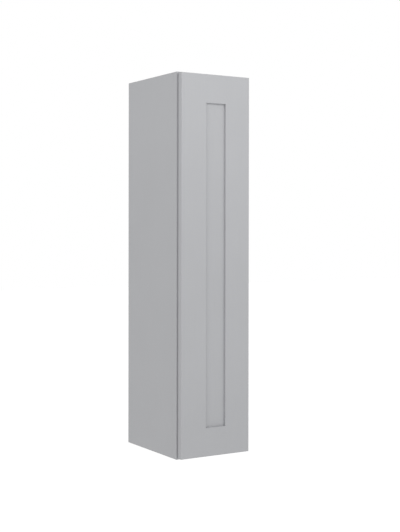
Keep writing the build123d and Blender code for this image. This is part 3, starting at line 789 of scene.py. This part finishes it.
def fit_cup_screws(nickel):
    """The countersunk screws of the hinge cups."""
    places = []
    for hinge in HINGE_PLACES:
        low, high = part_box(f"{hinge}_hinge_cup")
        level = (low.z + high.z) / 2
        for side in (-1, 1):
            place = (low.x + CUP_SCREW_INSET, high.y, level + side * CUP_SCREW_SPACING / 2)
            places.append((place, TO_BACK))
    screws = stamped([(flush_screw(), driven(places))])
    fit_piece("cup_flange_screws", screws, nickel, "door", "hinge_steel", "cup_screws")


def fit_shelf_pins():
    """Four bent pins under each shelf."""
    low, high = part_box("shelf_pins")
    places = []
    for shelf in SHELVES:
        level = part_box(shelf)[0].z
        for row_y in (low.y + PIN_WIDTH / 2, high.y - PIN_WIDTH / 2):
            for side in (-1, 1):
                places.append(mirrored((side * INNER_X, row_y, level), side))
    pins = stamped([(shelf_pin(), places)])
    nickel = plated_steel("pin_nickel", NICKEL, PIN_ROUGHNESS, X)
    fit_piece("bent_shelf_pins", pins, nickel, "box", "hinge_steel", "shelf_pins")


def fit_brackets():
    """Bent brackets over the top panel and under the bottom panel, with their screws."""
    low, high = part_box("corner_brackets")
    rows = (low.y + BRACKET_WIDTH / 2, high.y - BRACKET_WIDTH / 2)
    seats = ((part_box("top_panel")[1].z, 1.0), (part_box("bottom_panel")[0].z, -1.0))
    side_screw_rise = (BRACKET_HEIGHT + SHEET) / 2
    deck_screw_x = INNER_X - (BRACKET_REACH + SHEET) / 2
    places, screw_places = [], []
    for seat, rise in seats:
        for row_y in rows:
            for side in (-1, 1):
                places.append(mirrored((side * INNER_X, row_y, seat), side, rise))
                in_side = (side * (INNER_X - SHEET), row_y, seat + rise * side_screw_rise)
                in_deck = (side * deck_screw_x, row_y, seat + rise * SHEET)
                screw_places += [(in_side, (-side, 0.0, 0.0)), (in_deck, (0.0, 0.0, rise))]
    angle = bent_angle(BRACKET_HEIGHT, BRACKET_REACH, BRACKET_WIDTH, BRACKET_BEND, BRACKET_CORNER)
    brackets = stamped([(angle, places)])
    zinc = plated_steel("bracket_zinc", ZINC, BRACKET_ROUGHNESS, Y)
    fit_piece("bent_brackets", brackets, zinc, "box", "zinc_plate", "corner_brackets")
    screw = pan_screw(
        BRACKET_SCREW_RADIUS, BRACKET_SCREW_LENGTH, BRACKET_SCREW_HEAD, BRACKET_SCREW_HEAD_HEIGHT
    )
    screws = stamped([(screw, driven(screw_places))])
    screw_zinc = plated_steel(
        "bracket_screw_zinc", scaled_colour(ZINC, SCREW_ZINC_TONE), SCREW_ROUGHNESS, Z
    )
    fit_piece("bracket_pan_screws", screws, screw_zinc, "box", "zinc_plate", "bracket_screws")


def fit_bumpers():
    """Domed soft bumpers on the door's latch side."""
    low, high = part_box("door_bumpers")
    foot = [(0.0, 0.0), (BUMPER_RADIUS - BUMPER_CHAMFER, 0.0), (BUMPER_RADIUS, BUMPER_CHAMFER)]
    bumper = turned(foot + crowned(BUMPER_RADIUS, BUMPER_WALL, high.y - low.y, BUMPER_FULLNESS))
    places = [
        stood(((low.x + high.x) / 2, low.y, level), TO_BACK)
        for level in (low.z + BUMPER_RADIUS, high.z - BUMPER_RADIUS)
    ]
    bumpers = stamped([(bumper, places)])
    clear = soft_clear("bumper_plastic")
    fit_piece("domed_bumpers", bumpers, clear, "door", "soft_bumper", "door_bumpers")


def seen_directly(tree):
    """One for camera, glossy and transmission rays."""
    path = tree.nodes.new("ShaderNodeLightPath")
    seen = maths(tree, "MAXIMUM", path.outputs["Is Camera Ray"], path.outputs["Is Glossy Ray"])
    return maths(tree, "MAXIMUM", seen, path.outputs["Is Transmission Ray"])


def floor_finish():
    """Matt white, lit from under as a light table is, and seen through from below."""
    material, tree, shader = new_finish("floor_white")
    plug(tree, shader.inputs["Base Color"], FLOOR_COLOUR)
    plug(tree, shader.inputs["Roughness"], FLOOR_ROUGHNESS)
    plug(tree, shader.inputs["Emission Color"], WHITE)
    glow = maths(tree, "MULTIPLY_ADD", seen_directly(tree), FLOOR_WHITE - FLOOR_BOUNCE, FLOOR_BOUNCE)
    plug(tree, shader.inputs["Emission Strength"], glow)
    from_below = tree.nodes.new("ShaderNodeNewGeometry").outputs["Backfacing"]
    surface = add_node(tree, "ShaderNodeMixShader", Fac=from_below)
    plug(tree, surface.inputs[1], shader.outputs[0])
    plug(tree, surface.inputs[2], tree.nodes.new("ShaderNodeBsdfTransparent").outputs[0])
    plug(tree, tree.nodes["Material Output"].inputs["Surface"], surface.outputs[0])
    return material


def studio_floor():
    """A pale floor below the hung cabinet, white to the camera where nothing shades it."""
    bm = bmesh.new()
    bmesh.ops.create_grid(bm, x_segments=1, y_segments=1, size=FLOOR_SIZE / 2)
    bmesh.ops.translate(bm, vec=(0.0, 0.0, cad_box[0].z - HANGING_HEIGHT), verts=bm.verts)
    mesh = bpy.data.meshes.new("floor")
    bm.to_mesh(mesh)
    bm.free()
    mesh.materials.append(floor_finish())
    floor = bpy.data.objects.new("floor", mesh)
    bpy.context.scene.collection.objects.link(floor)


def studio_world():
    """Even light from all round, behind a white ground."""
    world = bpy.data.worlds.new("studio")
    bpy.context.scene.world = world
    world.use_nodes = True
    tree = world.node_tree
    background = tree.nodes["Background"]
    plug(tree, background.inputs["Color"], WHITE)
    strength = maths(tree, "MULTIPLY_ADD", seen_directly(tree), 1.0 - AMBIENT, AMBIENT)
    plug(tree, background.inputs["Strength"], strength)


def softbox(name, angle_deg, height_deg, watts):
    """A square area lamp round the cabinet, aimed at its middle."""
    lamp = bpy.data.lights.new(name, "AREA")
    lamp.shape = "SQUARE"
    lamp.size = SOFTBOX_SIZE
    lamp.energy = watts
    turn, rise = math.radians(angle_deg), math.radians(height_deg)
    away = Vector((-math.sin(turn) * math.cos(rise), -math.cos(turn) * math.cos(rise), math.sin(rise)))
    place = Matrix.Translation(Vector(STUDIO_AIM) + SOFTBOX_DISTANCE * away)
    holder = bpy.data.objects.new(name, lamp)
    holder.matrix_world = place @ away.to_track_quat("Z", "Y").to_matrix().to_4x4()
    bpy.context.scene.collection.objects.link(holder)


def photo_camera():
    """The photograph's viewpoint, angle and framing."""
    lens = bpy.data.cameras.new("photo_camera")
    lens.sensor_width = SENSOR_MM
    lens.lens = FOCAL_PX / IMAGE_HEIGHT * SENSOR_MM
    lens.shift_y = (OPTICAL_CENTRE_Y_PX - IMAGE_HEIGHT / 2) / IMAGE_HEIGHT
    lens.clip_end = VIEW_DEPTH
    camera = bpy.data.objects.new("photo_camera", lens)
    camera.location = CAMERA_PLACE
    turns = (90.0 + CAMERA_PITCH_DEG, -CAMERA_ROLL_DEG, -CAMERA_YAW_DEG)
    camera.rotation_euler = [math.radians(turn) for turn in turns]
    bpy.context.scene.collection.objects.link(camera)
    bpy.context.scene.camera = camera


dress_box()
dress_door()
dress_hinges()
screw_nickel = plated_steel("screw_nickel", scaled_colour(NICKEL, SCREW_NICKEL_TONE), SCREW_ROUGHNESS, Z)
fit_arm_screws(screw_nickel)
fit_cup_screws(screw_nickel)
fit_shelf_pins()
fit_brackets()
fit_bumpers()
studio_floor()
studio_world()
softbox("key", KEY_ANGLE_DEG, KEY_HEIGHT_DEG, KEY_WATTS)
softbox("fill", FILL_ANGLE_DEG, FILL_HEIGHT_DEG, FILL_WATTS)
softbox("low_fill", LOW_FILL_ANGLE_DEG, LOW_FILL_HEIGHT_DEG, LOW_FILL_WATTS)
photo_camera()
bpy.context.scene.view_settings.view_transform = "Standard"
